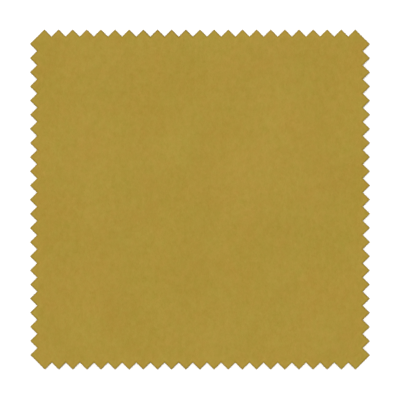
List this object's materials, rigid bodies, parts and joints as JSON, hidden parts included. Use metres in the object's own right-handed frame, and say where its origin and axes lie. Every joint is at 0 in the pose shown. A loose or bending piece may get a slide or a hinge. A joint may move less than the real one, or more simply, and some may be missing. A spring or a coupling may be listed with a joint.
{
  "type": "fabric sample",
  "caption": "Flat square velvet sample with pinked edges: cut pile on a woven ground cloth with a coated back.",
  "frame": {"origin": "middle of the back face, which lies on the surface under the sample", "axes": "+Z out of the pile face, +Y along the length, the way the nap lies, +X across the width"},
  "size_m": [0.1, 0.1, 0.0022],
  "materials": {
    "pile_velvet": "mustard velvet pile, matt with a soft sheen at grazing angles",
    "ground_weave": "plain weave of spun yarn in a slightly darker mustard",
    "acrylic_coating": "thin matt acrylic film over the back of the weave"
  },
  "bodies": {
    "root": {"pile": "pile_velvet", "ground_cloth": "ground_weave", "back_coating": "acrylic_coating"}
  },
  "joints": []
}
